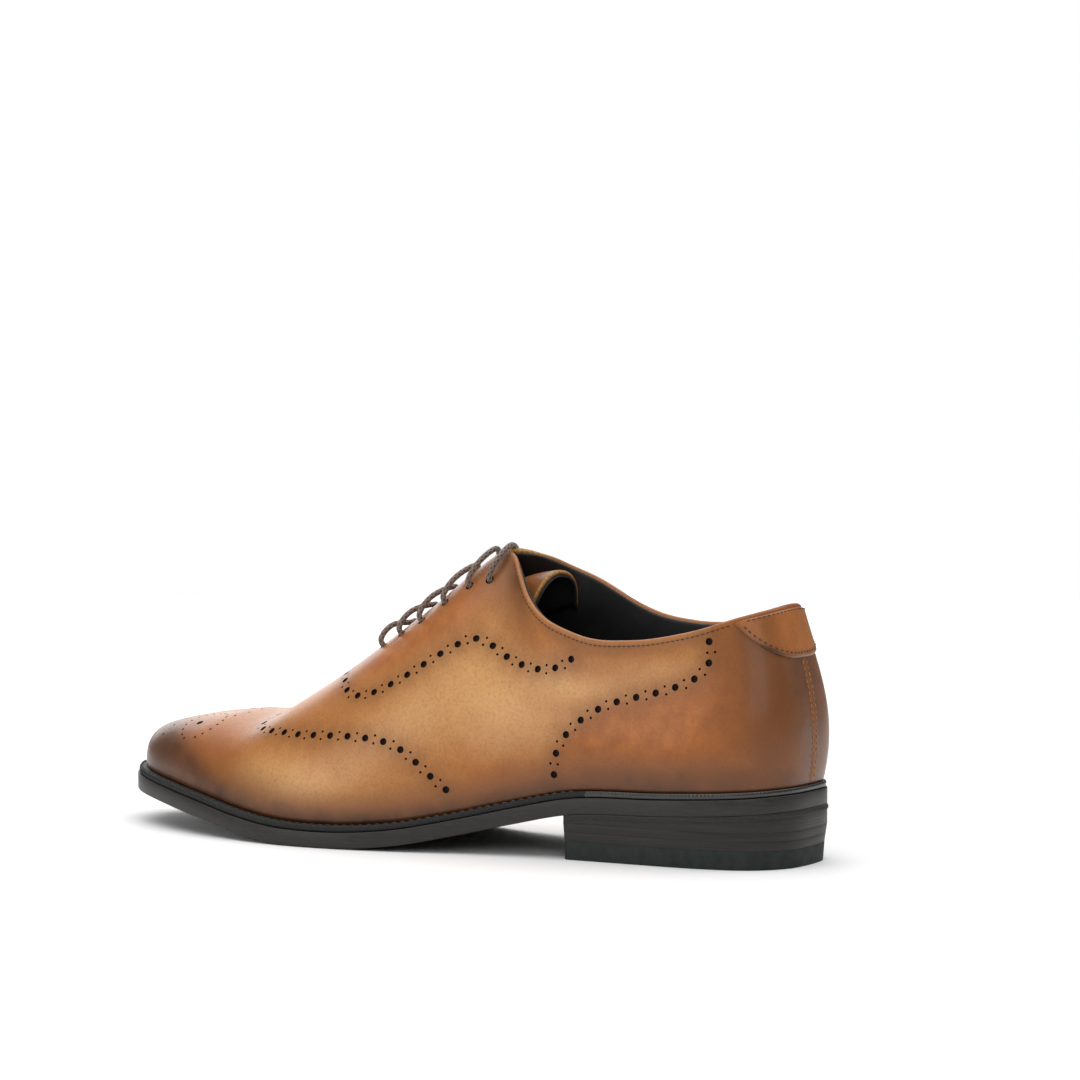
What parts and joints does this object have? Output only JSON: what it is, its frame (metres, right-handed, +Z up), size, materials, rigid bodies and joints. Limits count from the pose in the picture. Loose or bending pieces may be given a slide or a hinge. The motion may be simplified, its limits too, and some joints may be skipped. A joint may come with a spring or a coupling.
{
  "type": "leather oxford shoe",
  "caption": "Left leather oxford shoe with punched wingtip pattern, closed lacing, arched tongue, welted dark sole and stacked heel.",
  "frame": {"origin": "middle of the shoe's plan box at ground level, under the arch", "axes": "+Y towards the heel, -Y towards the toe, +X towards the outer side of the left foot, +Z up"},
  "size_m": [0.1041, 0.2948, 0.1136],
  "materials": {
    "upper_leather": "satin, burnished darker at toe, heel and edges",
    "lining_leather": "matte",
    "stiffener": "matte",
    "interlining": "matte",
    "tape": "matte",
    "eyelet_metal": "satin",
    "lace_cord": "waxed",
    "aglet_film": "gloss",
    "insole_leather": "matte",
    "cork": "matte",
    "shank_steel": "satin",
    "sole_leather": "matte, waxed edge",
    "stacked_leather": "satin, waxed edge",
    "heel_rubber": "matte",
    "nail_steel": "satin"
  },
  "bodies": {
    "shoe": {"upper": "upper_leather", "heel_tab": "upper_leather", "topline_tape": "tape", "toe_puff": "stiffener", "heel_counter": "stiffener", "interlining_lateral": "interlining", "interlining_medial": "interlining", "facing_stay_lateral": "interlining", "facing_stay_medial": "interlining", "vamp_lining": "lining_leather", "quarter_lining_lateral": "lining_leather", "quarter_lining_medial": "lining_leather", "blind_eyelets": "eyelet_metal", "lace": "lace_cord", "lace_end_rear": "lace_cord", "lace_end_front": "lace_cord", "aglet_rear": "aglet_film", "aglet_front": "aglet_film", "sock_liner": "lining_leather", "insole": "insole_leather", "cork_filler": "cork", "shank": "shank_steel", "welt": "sole_leather", "heel_rand": "sole_leather", "outsole": "sole_leather", "heel_seat_lift": "stacked_leather", "heel_lift_upper": "stacked_leather", "heel_lift_lower": "stacked_leather", "top_lift": "heel_rubber", "heel_nails": "nail_steel"},
    "tongue": {"tongue": "upper_leather", "tongue_lining": "lining_leather"}
  },
  "joints": [
    {"name": "tongue_hinge", "type": "hinge", "parent": "shoe", "child": "tongue", "pos_m": [0.0004, -0.0467, 0.0565], "axis": [1, 0, 0], "range_deg": [-12, 1.5]}
  ]
}
